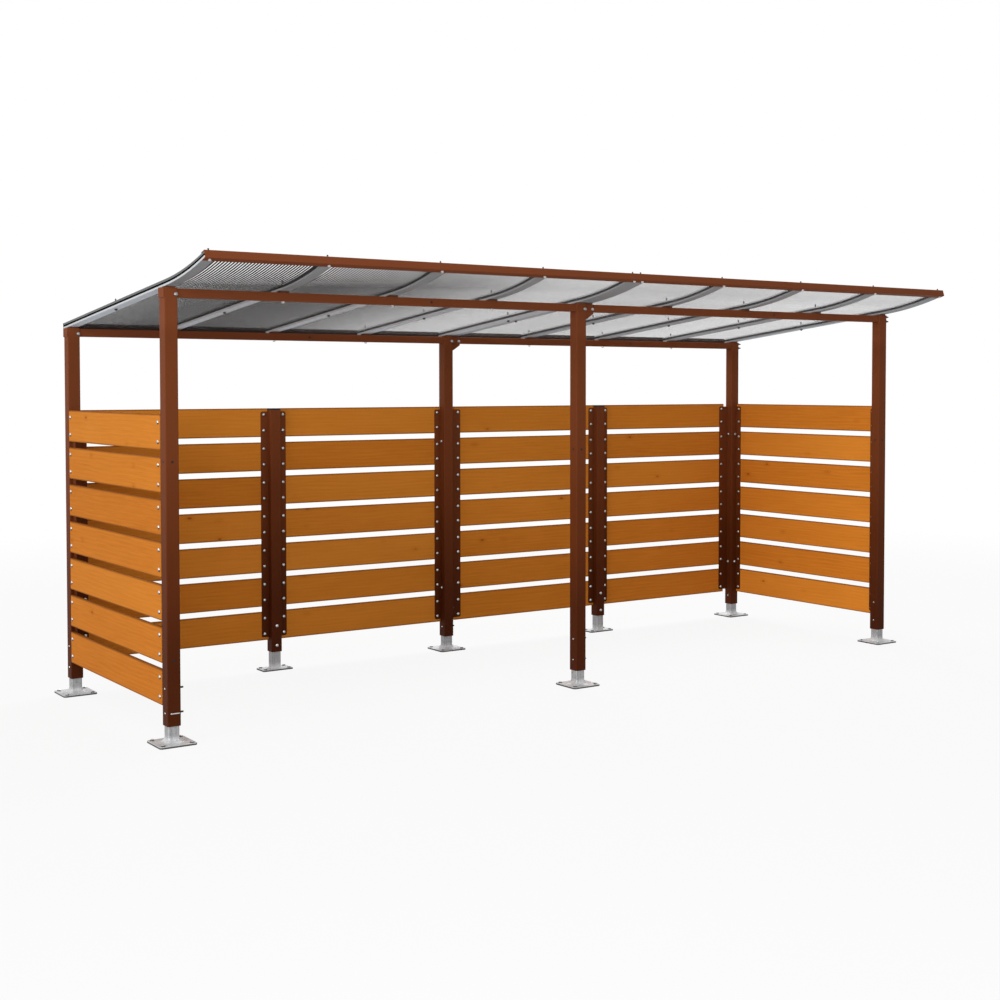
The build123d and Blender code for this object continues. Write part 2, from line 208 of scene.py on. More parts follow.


# Frame. Posts, board posts and beams are mild steel tube, the brackets and the front channel are
# folded plate. All are powder coated brown. The baked powder has a fine orange peel. Its tone has
# painted shade low down, towards the ground, and painted light at beam height.
COAT_LOW, COAT_TOP = 0.15, 1.9
BEAM_LOW, BEAM_HIGH = 2.04, 2.14


def brown_coat():
    """Brown powder: a fine peel in the bump and a slow drift in tone, with painted shade low down and painted
    light on the beams.
    """
    coat = material("brown_powder_coat")
    place = coat.place()
    height = coat.axis(place, "Z")
    drift = coat.noise(place, 2.3, 3.0)
    speck = coat.noise(place, 420.0, 2.0)
    peel = coat.noise(place, 260.0, 1.0)
    # Painted shade: the tone falls towards the ground. Painted light: it rises again at beam height.
    raised = coat.between(height, COAT_LOW, COAT_TOP)
    beams = coat.between(height, BEAM_LOW, BEAM_HIGH)
    tone = 0.50 * raised + 0.16 * beams + 0.20 * drift + 0.12 * speck
    shades = [
        (0.12, (0.052, 0.0095, 0.0014, 1)),
        (0.40, (0.112, 0.0255, 0.0058, 1)),
        (0.67, (0.152, 0.0390, 0.0115, 1)),
        (0.84, (0.182, 0.0490, 0.0170, 1)),
    ]
    return coat.surface({
        "Base Color": coat.ramp(tone, shades),
        "Roughness": 0.50 + 0.12 * drift,
        "Specular IOR Level": 0.06,
        "Normal": coat.bump(peel, 0.18, 0.0006),
    })


coat = brown_coat()
frame_names = ["frame_brackets", "fascia_beam", "board_post_left", "board_post_right"]
frame_names += [n for n in nodes if n.startswith(("beam_", "brackets_"))]
dress(post_names + frame_names, coat)


# Caps. A moulded black-brown plastic cap closes the top of each board post.
# A bar of dark brown plastic closes the back ends of the roof sheets.
def moulded(name, dark, light):
    """Moulded plastic with a fine spark texture."""
    plastic = material(name)
    place = plastic.place()
    grain = plastic.noise(place, 700.0, 2.0)
    haze = plastic.noise(place, 12.0, 3.0)
    return plastic.surface({
        "Base Color": plastic.ramp(haze, [(0.3, dark), (0.7, light)]),
        "Roughness": 0.50 + 0.16 * haze,
        "Specular IOR Level": 0.2,
        "Normal": plastic.bump(grain, 0.2, 0.0004),
    })


moulding = moulded("dark_moulding", (0.008, 0.007, 0.007, 1), (0.016, 0.014, 0.014, 1))
dress(["board_post_caps"], moulding)
dress(["back_closers"], moulded("brown_moulding", (0.024, 0.012, 0.008, 1), (0.042, 0.021, 0.014, 1)))


# Board panels. Seven planed softwood boards a side, stained a warm orange brown, so each has
# its own grain, a few small knots and slightly its own tone. They are bolted to flanges.
BOARD_PITCH = 0.214
BOARD_HEIGHT = 0.180
BOARD_COUNT = 7
PAINTED_SHADE_EDGE = 0.011
ROUNDED_EDGE = 0.002


def board_finish(name, along, seed, paler):
    """Grain along a board: noise stretched lengthwise, ring bands bent by slow noise, and oval knots.

    The row number of a board, from its height, shifts its grain and its tone. Near its upper and
    lower edge it is darker, as painted shade next to the gaps. A factor makes the whole panel paler,
    as painted light.
    """
    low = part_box(name)[0][2] - (BOARD_PITCH - BOARD_HEIGHT) / 2
    wood = material(name + "_stain")
    place = wood.place()
    axes = [wood.axis(place, letter) for letter in "XYZ"]
    length, through, height = axes[along], axes[1 - along], axes[2]
    row = wood.node("ShaderNodeMath", {"operation": "FLOOR"}, {0: (height - low) / BOARD_PITCH})
    chance = wood.node("ShaderNodeTexWhiteNoise", {"noise_dimensions": "1D"}, {"W": row + seed}, "Value")
    shift = 41.0 * chance + 7.3 * row

    def stretched(per_length, per_height):
        sides = {"X": length * per_length + shift, "Y": through * per_height, "Z": height * per_height}
        return wood.node("ShaderNodeCombineXYZ", {}, sides)

    slow = wood.noise(stretched(1.7, 7.0), 1.0, 2.0)
    streak = wood.noise(stretched(5.0, 190.0), 1.0, 4.0)
    fibre = wood.noise(stretched(22.0, 900.0), 1.0, 2.0)
    bend = height * 260.0 + slow * 16.0
    rings = 0.5 + 0.5 * wood.node("ShaderNodeMath", {"operation": "SINE"}, {0: bend})
    spots = {"Vector": stretched(4.6, 9.5), "Scale": 1.0, "Randomness": 0.9}
    knot = wood.node("ShaderNodeTexVoronoi", {}, spots, "Distance")
    lot = wood.node("ShaderNodeTexVoronoi", {}, spots, "Color")
    lot = wood.node("ShaderNodeSeparateColor", {}, {"Color": lot}, "Red")
    chosen = wood.between(lot, 0.66, 0.68)
    core = chosen * (1.0 - wood.between(knot, 0.035, 0.085))
    halo = chosen * (1.0 - wood.between(knot, 0.06, 0.26))
    tone = 0.40 * streak + 0.18 * fibre + 0.07 * rings + 0.20 * slow + 0.26 * chance - 0.14 * halo
    shades = [
        (0.30, 0.435, 0.128, 0.0115),
        (0.55, 0.530, 0.172, 0.0180),
        (0.80, 0.600, 0.212, 0.0260),
    ]
    stops = [(at, (red * paler, green * paler, blue * paler, 1)) for at, red, green, blue in shades]
    stain = wood.ramp(tone, stops)
    knotted = wood.mixed(core * 0.72, stain, (0.19, 0.042, 0.004, 1))
    centre = low + BOARD_PITCH * (row + 0.5)
    half = BOARD_HEIGHT / 2
    # Painted shade: each board darkens towards its upper and lower edge, next to the gaps.
    edge = wood.between(abs(height - centre), half - PAINTED_SHADE_EDGE, half - ROUNDED_EDGE)
    return wood.surface({
        "Base Color": wood.mixed(0.70 * edge, knotted, (0.15, 0.042, 0.005, 1)),
        "Roughness": 0.68 - 0.14 * streak,
        "Specular IOR Level": 0.03,
        "Normal": wood.bump(streak * 0.6 + fibre * 0.4 - core, 0.22, 0.0012),
    })


panel_names = sorted(n for n in nodes if n.startswith("panel_"))
# Painted light: the right panel and the right bay of the back panel are made paler.
PAINTED_LIGHT_PANELS = {"panel_right": 1.17, "panel_back_right_bay_right": 1.05}
for seed, name in enumerate(panel_names):
    dress([name], board_finish(name, 0 if "back" in name else 1, 13.0 * seed, PAINTED_LIGHT_PANELS.get(name, 1.0)))


# Board bolts. Two stainless coach bolts go through each end of every board and its flange,
# with a domed head on the flange and a domed nut on the outer face of the board.
def turned(profile, sides):
    """Points at each radius and height of a profile, carried round the axis in equal steps."""
    profile = np.asarray(profile, float)
    angle = np.arange(sides) * 2 * np.pi / sides
    radius, height = profile[:, :1], profile[:, 1:]
    return np.stack([radius * np.cos(angle), radius * np.sin(angle), height + 0 * angle], axis=-1)


def ring_faces(rows, columns):
    """Quads between neighbouring rings of points, with a flat face at each end."""
    row = np.arange(rows - 1)[:, None] * columns
    here = np.arange(columns)[None, :]
    after = (here + 1) % columns
    sides = np.stack([row + here, row + after, row + columns + after, row + columns + here], axis=-1)
    first = np.arange(columns)[::-1]
    last = np.arange(columns) + (rows - 1) * columns
    return sides.reshape(-1, 4), (first, last)


def copies(rings, places, axes):
    """One shape at many places, its own Z turned to each axis: place + x*side + y*up + z*axis."""
    points = rings.reshape(-1, 3)
    places = np.asarray(places, float).reshape(-1, 3)
    axes = np.broadcast_to(np.asarray(axes, float), places.shape)
    upright = np.abs(axes[:, 2:]) > 0.9
    guide = np.where(upright, [1.0, 0.0, 0.0], [0.0, 0.0, 1.0])
    side = np.cross(guide, axes)
    side /= np.linalg.norm(side, axis=1, keepdims=True)
    up = np.cross(axes, side)
    turn = np.stack([side, up, axes], axis=1)
    return places[:, None, :] + np.einsum("pk,nkc->npc", points, turn)


def spread(profile, sides, places, axes, number):
    """A group to join: a turned shape at many places, with its rows, columns and material number."""
    return copies(turned(profile, sides), places, axes), len(profile), sides, number


def join(name, groups, coatings, smooth=False):
    """Make one mesh of groups of ringed shapes: arrays of copies, rows, columns and a material number."""
    points, faces, paint, count = [], [], [], 0
    for placed, rows, columns, number in groups:
        quads, ends = ring_faces(rows, columns)
        start = count + np.arange(len(placed))[:, None, None] * (rows * columns)
        faces += (start + quads[None]).reshape(-1, 4).tolist()
        for end in ends:
            faces += (start[:, 0] + end[None]).tolist()
        paint += [number] * (len(faces) - len(paint))
        points.append(placed.reshape(-1, 3))
        count += placed.shape[0] * placed.shape[1]
    mesh = bpy.data.meshes.new(name)
    mesh.from_pydata(np.concatenate(points).tolist(), [], faces)
    mesh.polygons.foreach_set("material_index", paint)
    mesh.polygons.foreach_set("use_smooth", [smooth] * len(faces))
    for coating in coatings:
        mesh.materials.append(coating)
    piece = bpy.data.objects.new(name, mesh)
    bpy.context.scene.collection.objects.link(piece)
    return piece


def middle(name):
    """Centre of a CAD piece's box."""
    low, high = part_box(name)
    return np.array([(low[k] + high[k]) / 2 for k in range(3)])


BOLT_EDGE = 0.020
BOLT_SHARES = (0.225, 0.775)
DOME = [(0.0104, 0.0), (0.0110, 0.0010), (0.0093, 0.0040), (0.0050, 0.0062), (0.0018, 0.0067)]
DOME_SIDES = 10
board_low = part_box("panel_left")[0][2]
board_lows = board_low + np.arange(BOARD_COUNT)[:, None] * BOARD_PITCH
bolt_heights = (board_lows + np.array(BOLT_SHARES) * BOARD_HEIGHT).reshape(-1)
POST_HALF = 0.035
FLANGE_THICK = 0.004
BOARD_THICK = 0.020
NARROW, WIDE, CENTRE_WING = 0.049, 0.08575, 0.050
post_x = {side: middle("post_back_" + side)[0] for side in ("left", "middle", "right")}
back_y = middle("post_back_left")[1]
front_y = middle("post_front_left")[1]
BOARD_FACE = 0.015
back_lines = [
    post_x["left"] + POST_HALF + NARROW - BOLT_EDGE,
    post_x["middle"] - POST_HALF - NARROW + BOLT_EDGE,
    post_x["middle"] + POST_HALF + WIDE - BOLT_EDGE,
    post_x["right"] - POST_HALF - WIDE + BOLT_EDGE,
]
for side in ("left", "right"):
    board_post_x = middle("board_post_" + side)[0]
    reach = POST_HALF + CENTRE_WING - BOLT_EDGE
    back_lines += [board_post_x - reach, board_post_x + reach]
side_lines = [front_y + POST_HALF + NARROW - BOLT_EDGE, back_y - POST_HALF - NARROW + BOLT_EDGE]


def column(x, y):
    """Places one above the other at every bolt height."""
    return np.column_stack([np.full(len(bolt_heights), x), np.full(len(bolt_heights), y), bolt_heights])


inner_y = back_y + BOARD_FACE - FLANGE_THICK
outer_y = back_y + BOARD_FACE + BOARD_THICK
back_heads = np.concatenate([column(x, inner_y) for x in back_lines])
back_nuts = np.concatenate([column(x, outer_y) for x in back_lines])
domes = [
    spread(DOME, DOME_SIDES, back_heads, (0.0, -1.0, 0.0), 0),
    spread(DOME, DOME_SIDES, back_nuts, (0.0, 1.0, 0.0), 0),
]
for side, outward in (("left", -1.0), ("right", 1.0)):
    inner_x = post_x[side] + outward * (BOARD_FACE - FLANGE_THICK)
    outer_x = post_x[side] + outward * (BOARD_FACE + BOARD_THICK)
    side_heads = np.concatenate([column(inner_x, y) for y in side_lines])
    side_nuts = np.concatenate([column(outer_x, y) for y in side_lines])
    domes.append(spread(DOME, DOME_SIDES, side_heads, (-outward, 0.0, 0.0), 0))
    domes.append(spread(DOME, DOME_SIDES, side_nuts, (outward, 0.0, 0.0), 0))


def polished(name, below, side):
    """Pressed steel whose colour is painted light and shade by facing: bright above, other tones at its sides
    and below, with faint clouds from handling.
    """
    steel = material(name)
    cloud = steel.noise(steel.place(), 150.0, 3.0)
    upward = steel.axis(steel.facing(), "Z")
    # Painted light and shade: the tone follows which way the surface faces, brightest facing up.
    tone = 0.42 + 0.42 * upward + 0.16 * cloud
    return steel.surface({
        "Base Color": steel.ramp(tone, [(0.24, below), (0.49, side), (0.72, (0.76, 0.76, 0.76, 1))]),
        "Metallic": 0.85,
        "Roughness": 0.22 + 0.18 * cloud,
    })


# Painted shade and highlight: near black facing down, grey at the sides, bright facing up.
stainless = polished("stainless_dome", (0.016, 0.015, 0.014, 1), (0.36, 0.36, 0.36, 1))
board_bolts = join("board_bolts", domes, [stainless], smooth=True)
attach(board_bolts, "root")


# Frame bolts. Coach bolts clamp each post to its foot, brackets to the posts, and beams to the
# post heads. Heads are bright domes, but small and dull on the main posts' clamp bolts, and the
# far ends are dark nuts on threaded rod.
def dark_steel():
    """Blackened thread and nut steel, oily and uneven."""
    steel = material("dark_steel")
    cloud = steel.noise(steel.place(), 300.0, 3.0)
    return steel.surface({
        "Base Color": steel.ramp(cloud, [(0.3, (0.026, 0.024, 0.023, 1)), (0.7, (0.065, 0.060, 0.057, 1))]),
        "Metallic": 0.7,
        "Roughness": 0.38 + 0.20 * cloud,
    })


blackened = dark_steel()
# Painted light and shade by facing here too, with darker tones at the sides and below.
dull_steel = polished("dull_head", (0.02, 0.018, 0.016, 1), (0.13, 0.12, 0.11, 1))
CLAMP_HEIGHTS = (0.1555, 0.2800)
LEG_HEIGHTS = (0.4230, 1.4175)
HEX_NUT = [(0.0088, 0.0), (0.0098, 0.0010), (0.0098, 0.0075), (0.0085, 0.0085)]
ROD_END = [(0.0050, 0.0080), (0.0050, 0.0250), (0.0040, 0.0260)]
CLAMP_HEAD = [(0.0058, 0.0), (0.0062, 0.0008), (0.0048, 0.0026), (0.0020, 0.0036)]
HEX_SIDES, ROD_SIDES, HEAD_SIDES, FRAME_DOME_SIDES = 6, 8, 10, 12
clamp_heads, heads, head_axes, tails, tail_axes = [], [], [], [], []


def through_bolt(head, tail):
    """A dome at one place and a nut on a rod end at the other, both pointing away from each other."""
    axis = (np.asarray(head) - tail) / np.linalg.norm(np.asarray(head) - tail)
    heads.append(head)
    head_axes.append(axis)
    tails.append(tail)
    tail_axes.append(-axis)


for row_y in (front_y, back_y):
    for x in post_x.values():
        for z in CLAMP_HEIGHTS:
            clamp_heads.append((x - POST_HALF, row_y, z))
            tails.append((x + POST_HALF, row_y, z))
            tail_axes.append((1.0, 0.0, 0.0))
for side in ("left", "right"):
    x = middle("board_post_" + side)[0]
    y = middle("board_post_foot_" + side)[1]
    for z in CLAMP_HEIGHTS:
        through_bolt((x, y - POST_HALF, z), (x, y + POST_HALF, z))
for z in LEG_HEIGHTS:
    leg = POST_HALF + FLANGE_THICK
    heads += [(post_x["left"] + leg, back_y, z), (post_x["middle"] + leg, back_y, z)]
    head_axes += [(1.0, 0.0, 0.0)] * 2
    heads += [(post_x["middle"] - leg, back_y, z), (post_x["right"] - leg, back_y, z)]
    head_axes += [(-1.0, 0.0, 0.0)] * 2
    for side in ("left", "right"):
        heads += [(post_x[side], front_y + leg, z), (post_x[side], back_y - leg, z)]
        head_axes += [(0.0, 1.0, 0.0), (0.0, -1.0, 0.0)]

HEAD_DROP = 0.034
BEAM_BOLT = 0.026
JOINT_BOLT = 0.087
JOINT_HALF = 0.026
END_DROPS = (0.0125, 0.0430)
END_SETTING = 0.024
for row, row_y in (("front", front_y), ("back", back_y)):
    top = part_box("post_" + row + "_left")[1][2]
    z = top - HEAD_DROP
    for side in ("left", "middle"):
        bolt_x = post_x[side] + BEAM_BOLT
        through_bolt((bolt_x, row_y - POST_HALF, z), (bolt_x, row_y + POST_HALF, z))
    joint_x = post_x["middle"] + JOINT_BOLT
    through_bolt((joint_x, row_y - JOINT_HALF, z), (joint_x, row_y + JOINT_HALF, z))
    for drop in END_DROPS:
        tails.append((post_x["right"] + POST_HALF, row_y - END_SETTING, top - drop))
        tail_axes.append((1.0, 0.0, 0.0))

# A short bright rod lies across the front of the front left post, just over its foot. Its underside is
# painted dark, as shade.
CROSS_ROD = [(0.0034, -0.0230), (0.0042, -0.0222), (0.0042, 0.0222), (0.0034, 0.0230)]
CROSS_SHIFT, CROSS_STAND, CROSS_HEIGHT = 0.003, 0.003, 0.157
cross_place = [(post_x["left"] + CROSS_SHIFT, front_y - POST_HALF - CROSS_STAND, CROSS_HEIGHT)]
frame_bolts = join("frame_bolts", [
    spread(CROSS_ROD, ROD_SIDES, cross_place, (1.0, 0.0, 0.0), 0),
    spread(DOME, FRAME_DOME_SIDES, heads, head_axes, 0),
    spread(HEX_NUT, HEX_SIDES, tails, tail_axes, 1),
    spread(ROD_END, ROD_SIDES, tails, tail_axes, 1),
    spread(CLAMP_HEAD, HEAD_SIDES, clamp_heads, (-1.0, 0.0, 0.0), 2),
], [stainless, blackened, dull_steel])
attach(frame_bolts, "root")


# Anchor bolts. A low hexagon head on a washer stands at each corner of every foot plate,
# of plated steel painted dark on its sides as shade and bright on top as a highlight, screwed down into the
# ground.
PLATE_TOP = 0.0100
WASHER_SIDES = 12
WASHER = [(0.0118, 0.0), (0.0118, 0.0014), (0.0100, 0.0016)]
LOW_HEAD = [(0.0094, 0.0014), (0.0100, 0.0020), (0.0100, 0.0056), (0.0086, 0.0068)]
MAIN_SPACING, SMALL_SPACING = (0.150, 0.150), (0.160, 0.076)
corner_signs = np.array([[-1, -1], [1, -1], [1, 1], [-1, 1]]) / 2
anchor_places = []
for names, spacing in ((foot_names, MAIN_SPACING), (small_foot_names, SMALL_SPACING)):
    for name in names:
        spots = middle(name)[:2] + corner_signs * spacing
        anchor_places.append(np.column_stack([spots, np.full(4, PLATE_TOP)]))
anchor_places = np.concatenate(anchor_places)
upward_axis = (0.0, 0.0, 1.0)
anchor_bolts = join("anchor_bolts", [
    spread(WASHER, WASHER_SIDES, anchor_places, upward_axis, 0),
    spread(LOW_HEAD, HEX_SIDES, anchor_places, upward_axis, 0),
], [polished("plated_head", (0.02, 0.02, 0.02, 1), (0.04, 0.04, 0.04, 1))])
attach(anchor_bolts, "root")


# Hole plugs. Small dark plastic plugs close the unused holes of the posts and beams.
# They are moulded and pushed in by hand.
PLUG = [(0.0062, -0.0010), (0.0066, 0.0006), (0.0055, 0.0012), (0.0026, 0.0014)]
BEAM_PLUGS = (-1.0722, 1.5417)
BEAM_FACE = 0.030
plug_places, plug_axes = [], []
for row, row_y in (("front", front_y), ("back", back_y)):
    beam_z = middle("beam_" + row + "_left")[2]
    for x in BEAM_PLUGS:
        plug_places.append((x, row_y - BEAM_FACE, beam_z))
        plug_axes.append((0.0, -1.0, 0.0))
plug_places.append((post_x["left"], front_y - POST_HALF, LEG_HEIGHTS[0]))
plug_axes.append((0.0, -1.0, 0.0))
for x in post_x.values():
    z = LEG_HEIGHTS[1]
    plug_places += [(x, front_y - POST_HALF, z), (x, back_y + POST_HALF, z)]
    plug_axes += [(0.0, -1.0, 0.0), (0.0, 1.0, 0.0)]
    plug_places += [(x - POST_HALF, front_y, z), (x + POST_HALF, front_y, z)]
    plug_axes += [(-1.0, 0.0, 0.0), (1.0, 0.0, 0.0)]
plugs = join("hole_plugs", [spread(PLUG, HEAD_SIDES, plug_places, plug_axes, 0)], [moulding])
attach(plugs, "root")


# Packers. Moulded rubber wedges level the rafters on the beams and post heads.
# They are brown like the frame, and slightly bloomed.
def rubber_finish(name, dark, light, gloss):
    """Rubber with a paler bloom in clouds."""
    rubber = material(name)
    bloom = rubber.noise(rubber.place(), 60.0, 4.0)
    return rubber.surface({
        "Base Color": rubber.ramp(bloom, [(0.3, dark), (0.8, light)]),
        "Roughness": 0.62 + 0.2 * bloom,
        "Specular IOR Level": gloss,
    })


brown_rubber = rubber_finish("packer_rubber", (0.080, 0.025, 0.009, 1), (0.125, 0.041, 0.016, 1), 0.5)
dress(["rafter_packers"], brown_rubber)


# Rafters and covers. The rafters under the sheet joints and the channels over them are drawn
# aluminium profiles, dull and faintly streaked along their length by the die.
ROOF_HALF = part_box("rafters_right")[1][0]
OUTER_START, OUTER_FULL = ROOF_HALF - 0.006, ROOF_HALF - 0.003
BEND_FRONT, BEND_BACK = front_y - 0.10, front_y + 0.04


def drawn_profile(name, sides, dark, light, overhang_shade):
    """Aluminium: noise stretched along the profile gives die streaks in tone, gloss and bump.

    The sides have tones of their own, painted light and shade: behind the front posts, in front of them,
    and at the two ends of the roof. In front of the posts the underside is painted darker, as shade.
    """
    metal = material(name)
    place = metal.place()
    facing = metal.facing()
    outermost = metal.between(abs(metal.axis(place, "X")), OUTER_START, OUTER_FULL)
    ahead = 1.0 - metal.between(metal.axis(place, "Y"), BEND_FRONT, BEND_BACK)
    upright = abs(metal.axis(facing, "X"))
    shaded_underside = ahead * (1.0 - metal.between(metal.axis(facing, "Z"), -0.5, 0.0))
    lengthwise = metal.node("ShaderNodeMapping", {}, {"Vector": place, "Scale": (420.0, 3.0, 420.0)})
    streak = metal.noise(lengthwise, 1.0, 3.0)
    haze = metal.noise(place, 9.0, 4.0)
    flat = metal.ramp(0.55 * streak + 0.45 * haze, [(0.3, dark), (0.7, light)])
    side = metal.mixed(outermost, metal.mixed(ahead, sides[0], sides[1]), sides[2])
    return metal.surface({
        "Base Color": metal.mixed(upright, metal.mixed(shaded_underside, flat, overhang_shade), side),
        "Metallic": 0.15,
        "Roughness": 0.46 + 0.16 * haze,
        "Specular IOR Level": 0.25,
        "Normal": metal.bump(streak, 0.10, 0.0004),
    })


OVERHANG_PAINTED_SHADE = (0.28, 0.305, 0.325, 1)
# Painted light and shade on the sides: paler behind the front posts, duller in front and on the right module.
PALE_SIDE, DULL_SIDE = (0.52, 0.53, 0.54, 1), (0.34, 0.35, 0.36, 1)
# Painted light: the covers' inner sides are near white. The sides at the two ends of the roof are shaded.
COVER_SIDE, SHADED_SIDE = (0.78, 0.79, 0.80, 1), (0.130, 0.133, 0.136, 1)
# Painted light and shade: the rafters of the left module are paler than those of the right.
painted_light_rafter_metal = drawn_profile(
    "rafter_aluminium", (PALE_SIDE, DULL_SIDE, PALE_SIDE),
    (0.56, 0.65, 0.74, 1), (0.66, 0.76, 0.86, 1), OVERHANG_PAINTED_SHADE)
painted_shade_rafter_metal = drawn_profile(
    "rafter_aluminium_painted_shade", (DULL_SIDE, DULL_SIDE, DULL_SIDE),
    (0.36, 0.42, 0.48, 1), (0.44, 0.51, 0.58, 1), OVERHANG_PAINTED_SHADE)
SHADED_TONE = (0.066, 0.069, 0.071, 1)
cover_metal = drawn_profile(
    "cover_aluminium", (COVER_SIDE, COVER_SIDE, SHADED_SIDE),
    (0.34, 0.35, 0.36, 1), (0.44, 0.45, 0.46, 1), SHADED_TONE)
dress(["rafters_left"], painted_light_rafter_metal)
dress(["rafters_right"], painted_shade_rafter_metal)
dress(["cover_strips"], cover_metal)


# Roof sheets. Each is an extruded multiwall sheet: two clear skins held apart by upright webs
# that run down the slope. It is bent cold over the raised front and clamped at its edges.
SHEET_LOW = 0.0103
SHEET_HIGH = 0.0203
WEB_INSET = 0.0026
WEB = 0.0052
WEB_COUNT = 37
ROOF_FALL, ROW_SPACING = 0.155, 1.495
SLOPE = math.atan2(ROOF_FALL, ROW_SPACING)
CURVE_RADIUS = 2.400
CURVE_START = 0.040
FRONT_REACH = 0.535
BACK_REACH = 1.555
END_SLOPE = math.asin(math.sin(SLOPE) + (FRONT_REACH - CURVE_START) / CURVE_RADIUS)
SEAT_GAP = 0.0003
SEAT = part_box("post_front_left")[1][2] + POST_HALF * math.tan(SLOPE) + SEAT_GAP
START = np.array([front_y - CURVE_START, SEAT + CURVE_START * math.tan(SLOPE)])
RUN = (BACK_REACH + CURVE_START) / math.cos(SLOPE)
STRAIGHT_STEPS = 6
CURVE_STEPS = 16
DARK_END, CLEAR_END = -1.85, -0.2
FAR_START, FAR_END = 0.2, 2.0
PAINTED_LIGHT_START, PAINTED_LIGHT_FULL = front_y - 0.35, front_y - 0.05
SHEET_COUNT = 8


def roof_line(layer):
    """Points along the roof at a height above its underside: a straight run, then an arc.

    On the run the point is start + run*(cos, -sin) + layer*(sin, cos) of the slope; on the arc
    it is the arc's centre - (radius - layer)*(sin, cos) of a slope that grows evenly.
    """
    run = np.linspace(RUN, 0.0, STRAIGHT_STEPS)[:, None]
    along = np.array([math.cos(SLOPE), -math.sin(SLOPE)])
    above = np.array([math.sin(SLOPE), math.cos(SLOPE)])
    straight = START + run * along + layer * above
    slope = np.linspace(SLOPE, END_SLOPE, CURVE_STEPS)[1:, None]
    centre = START + CURVE_RADIUS * above
    arc = centre - (CURVE_RADIUS - layer) * np.concatenate([np.sin(slope), np.cos(slope)], axis=1)
    return np.concatenate([straight, arc])


def carried(x_low, x_high, layer_low, layer_high):
    """Rectangles between two X and two layer heights, carried along the roof line, as rings of four."""
    low, high = roof_line(layer_low), roof_line(layer_high)
    x_low = np.asarray(x_low, float).reshape(-1, 1)
    x_high = np.asarray(x_high, float).reshape(-1, 1)
    steps = len(low)
    rings = np.empty((len(x_low), steps, 4, 3))
    rings[:, :, 0, 0] = rings[:, :, 3, 0] = x_low
    rings[:, :, 1, 0] = rings[:, :, 2, 0] = x_high
    rings[:, :, 0, 1:] = rings[:, :, 1, 1:] = low
    rings[:, :, 2, 1:] = rings[:, :, 3, 1:] = high
    return rings.reshape(len(x_low), -1, 3), steps, 4


def clear_skin():
    """Clear outer skin: nearly all see-through, with faint streaks along the extrusion."""
    skin = material("sheet_skin")
    lengthwise = skin.node("ShaderNodeMapping", {}, {"Vector": skin.place(), "Scale": (90.0, 2.0, 2.0)})
    streak = skin.noise(lengthwise, 1.0, 2.0)
    return skin.surface({
        "Base Color": skin.ramp(streak, [(0.3, (0.55, 0.55, 0.57, 1)), (0.7, (0.72, 0.72, 0.74, 1))]),
        "Roughness": 0.3,
        "Alpha": 0.015 + 0.030 * streak,
    })


def smoky_web():
    """Upright webs, black over the first sheets and clearer and clearer to the right, as painted shade.

    Behind the front posts the webs are a little more see-through again, as painted light,
    most of all at the far end.
    """
    web = material("sheet_web")
    place = web.place()
    across = web.axis(place, "X")
    cloud = web.noise(place, 30.0, 2.0)
    # Painted shade: the webs' colour and cover darken towards the left end of the roof.
    clear = web.between(across, DARK_END, CLEAR_END)
    farther = web.between(across, FAR_START, FAR_END)
    # Painted light: behind the front posts the webs are made a little more see-through.
    behind = web.between(web.axis(place, "Y"), PAINTED_LIGHT_START, PAINTED_LIGHT_FULL)
    painted_shade_opacity = 1.0 - 0.67 * clear - 0.11 * farther
    painted_light_opening = 1.0 - behind * (0.26 + 0.16 * farther)
    return web.surface({
        "Base Color": web.mixed(clear, (0.018, 0.016, 0.016, 1), (0.150, 0.146, 0.150, 1)),
        "Roughness": 0.5,
        "Specular IOR Level": 0.1,
        "Alpha": painted_shade_opacity * painted_light_opening - 0.04 * cloud,
    })


skin_finish = clear_skin()
web_finish = smoky_web()
for number in range(1, SHEET_COUNT + 1):
    low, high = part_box("roof_sheet_" + str(number))
    web_x = np.linspace(low[0] + WEB, high[0] - 2 * WEB, WEB_COUNT)
    sheet = join("multiwall_sheet_" + str(number), [
        (*carried([low[0]], [high[0]], SHEET_LOW, SHEET_HIGH), 0),
        (*carried(web_x, web_x + WEB, SHEET_LOW + WEB_INSET, SHEET_HIGH - WEB_INSET), 1),
    ], [skin_finish, web_finish])
    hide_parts("roof_sheet_" + str(number))
    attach(sheet, "root")


# Edge seals. A black rubber seal fills the open edge of the sheets at both ends of each module,
# pressed between the rafter and the cover channel. A thin rubber lip runs along the covers' edges
# where they are clamped down on the sheets, but not at the two ends of the roof.
SEAL = 0.0027
LIP = 0.0015
LIP_LOW, LIP_HIGH = 0.0204, 0.0236
COVER_HALF = 0.027
RAFTER_HALF = 0.029
SHEETS_PER_MODULE = 4
rafter_x, module_edges = [], []
for name in ("rafters_left", "rafters_right"):
    low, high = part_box(name)
    pitch = (high[0] - low[0]) / SHEETS_PER_MODULE
    joints = low[0] + pitch * np.arange(1, SHEETS_PER_MODULE)
    rafter_x += [low[0] + RAFTER_HALF, *joints, high[0] - RAFTER_HALF]
    module_edges += [(low[0], low[0] + SEAL), (high[0] - SEAL, high[0])]
rafter_x = np.array(rafter_x)
module_edges = np.array(module_edges)
lip_x = np.concatenate([rafter_x[1:] - COVER_HALF - LIP, rafter_x[:-1] + COVER_HALF])
seals = join("edge_seals", [
    (*carried(module_edges[:, 0], module_edges[:, 1], SHEET_LOW, SHEET_HIGH), 0),
    (*carried(lip_x, lip_x + LIP, LIP_LOW, LIP_HIGH), 0),
], [rubber_finish("seal_rubber", (0.004, 0.004, 0.004, 1), (0.009, 0.009, 0.009, 1), 0.0)])
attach(seals, "root")


